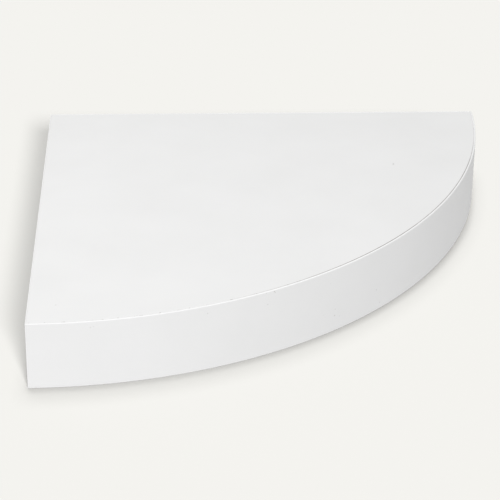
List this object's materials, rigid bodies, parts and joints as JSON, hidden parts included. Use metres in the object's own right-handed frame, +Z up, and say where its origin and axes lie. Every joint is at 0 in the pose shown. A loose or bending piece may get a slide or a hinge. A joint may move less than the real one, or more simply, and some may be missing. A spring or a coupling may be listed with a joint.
{
  "type": "floating corner shelf",
  "caption": "White quarter-round floating corner shelf: a hollow-core board with a banded curved front that slides onto the rods of a hidden wall bracket.",
  "frame": {"origin": "the room corner at the board's underside, where the back wall plane, the side wall plane and the underside meet", "axes": "+X along the back wall away from the side wall, +Y out of the board into the back wall, +Z up"},
  "size_m": [0.25, 0.25, 0.036],
  "materials": {
    "white_panel": "thin fibreboard with a satin white facing",
    "white_edge_band": "satin white edge banding",
    "raw_board": "sawn raw fibreboard",
    "core_paper": "brown kraft paper",
    "zinc_steel": "bright zinc plating",
    "weld_steel": "plated weld bead"
  },
  "bodies": {
    "wall_bracket": {"wall_bar": "zinc_steel", "support_rod_left": "zinc_steel", "support_rod_right": "zinc_steel", "rod_welds": "weld_steel"},
    "shelf_board": {"top_panel": "white_panel", "bottom_panel": "white_panel", "front_edge_band": "white_edge_band", "side_edge_band": "white_edge_band", "back_edge_band": "white_edge_band", "back_rail": "raw_board", "side_rail": "raw_board", "front_rail_left": "raw_board", "front_rail_middle": "raw_board", "front_rail_right": "raw_board", "rod_block_left": "raw_board", "rod_block_right": "raw_board", "honeycomb_core": "core_paper", "frame_staples": "zinc_steel"}
  },
  "joints": [
    {"name": "board_slide", "type": "slide", "parent": "wall_bracket", "child": "shelf_board", "axis": [0, -1, 0], "range_m": [0, 0.125]}
  ]
}
